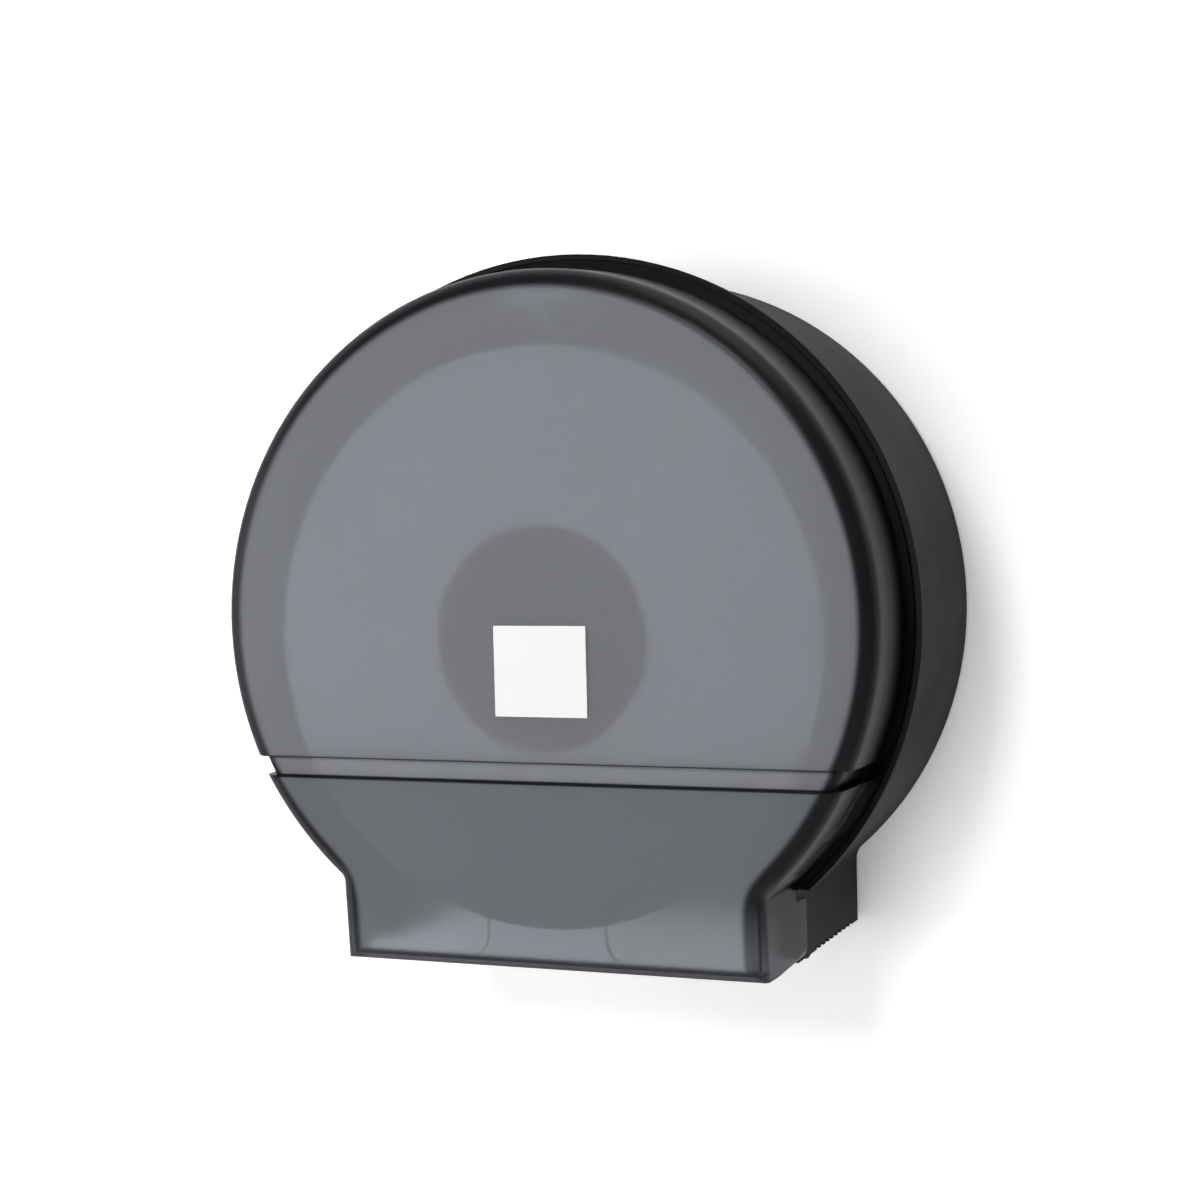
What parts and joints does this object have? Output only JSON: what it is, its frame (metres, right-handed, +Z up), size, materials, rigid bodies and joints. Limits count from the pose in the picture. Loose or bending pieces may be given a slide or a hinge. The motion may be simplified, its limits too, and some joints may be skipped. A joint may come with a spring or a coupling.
{
  "type": "jumbo toilet roll dispenser",
  "caption": "Wall-mounted drum dispenser with a see-through smoke-grey cover hinged below, a lock on top, a turning hub and a jumbo roll over an open paper outlet.",
  "frame": {"origin": "where the spindle axis meets the wall plane, at the centre of the four wall screws", "axes": "+X to the right of someone facing the dispenser, +Y into the wall, +Z up"},
  "size_m": [0.2886, 0.1352, 0.2821],
  "materials": {
    "black_abs": "fine-textured black ABS",
    "smoke_cover": "satin see-through smoke-grey plastic",
    "black_hub": "smooth black plastic",
    "bushing_plastic": "natural acetal",
    "tissue": "soft white tissue",
    "core_board": "kraft board",
    "label_white": "plain white plate",
    "steel_bright": "zinc plated",
    "steel_plate": "zinc-plated sheet",
    "steel_black": "black tear strip",
    "cast_zinc": "light grey die-casting",
    "chrome_lock": "bright plated"
  },
  "bodies": {
    "housing": {"rear_housing": "black_abs", "spindle_base": "black_abs", "spindle_base_screws": "steel_bright", "spindle_shaft": "steel_bright", "rear_thrust_washer": "bushing_plastic", "front_thrust_washer": "bushing_plastic", "retaining_screw": "steel_bright", "left_tear_strip": "steel_black", "right_tear_strip": "steel_black", "latch_strike": "steel_plate", "strike_screws": "steel_bright", "left_hinge_pin": "steel_bright", "right_hinge_pin": "steel_bright"},
    "hub": {"roll_hub": "black_hub", "rear_bushing": "bushing_plastic", "front_bushing": "bushing_plastic", "hub_cap": "black_hub"},
    "roll": {"roll_core": "core_board", "paper_roll": "tissue"},
    "cover": {"front_cover": "smoke_cover", "label_plate": "label_white", "lock_carrier": "cast_zinc", "lock_carrier_screws": "steel_bright", "lock_barrel": "chrome_lock", "lock_nut": "steel_plate"},
    "lock": {"lock_plug": "chrome_lock", "lock_cam": "steel_plate", "cam_screw": "steel_bright"}
  },
  "joints": [
    {"name": "cover_hinge", "type": "hinge", "parent": "housing", "child": "cover", "pos_m": [0, -0.0768, -0.126], "axis": [1, 0, 0], "range_deg": [0, 110]},
    {"name": "roll_spin", "type": "hinge", "parent": "housing", "child": "roll", "pos_m": [0, 0, -0.0065], "axis": [0, 1, 0], "continuous": true},
    {"name": "hub_spin", "type": "hinge", "parent": "housing", "child": "hub", "pos_m": [0, 0, 0], "axis": [0, 1, 0], "continuous": true},
    {"name": "lock_turn", "type": "hinge", "parent": "cover", "child": "lock", "pos_m": [0, -0.113, 0.12], "axis": [0, 0, -1], "range_deg": [0, 90]}
  ],
  "couplings": [
    {"joint": "hub_spin", "follows": "roll_spin", "ratio": 1.1889}
  ]
}
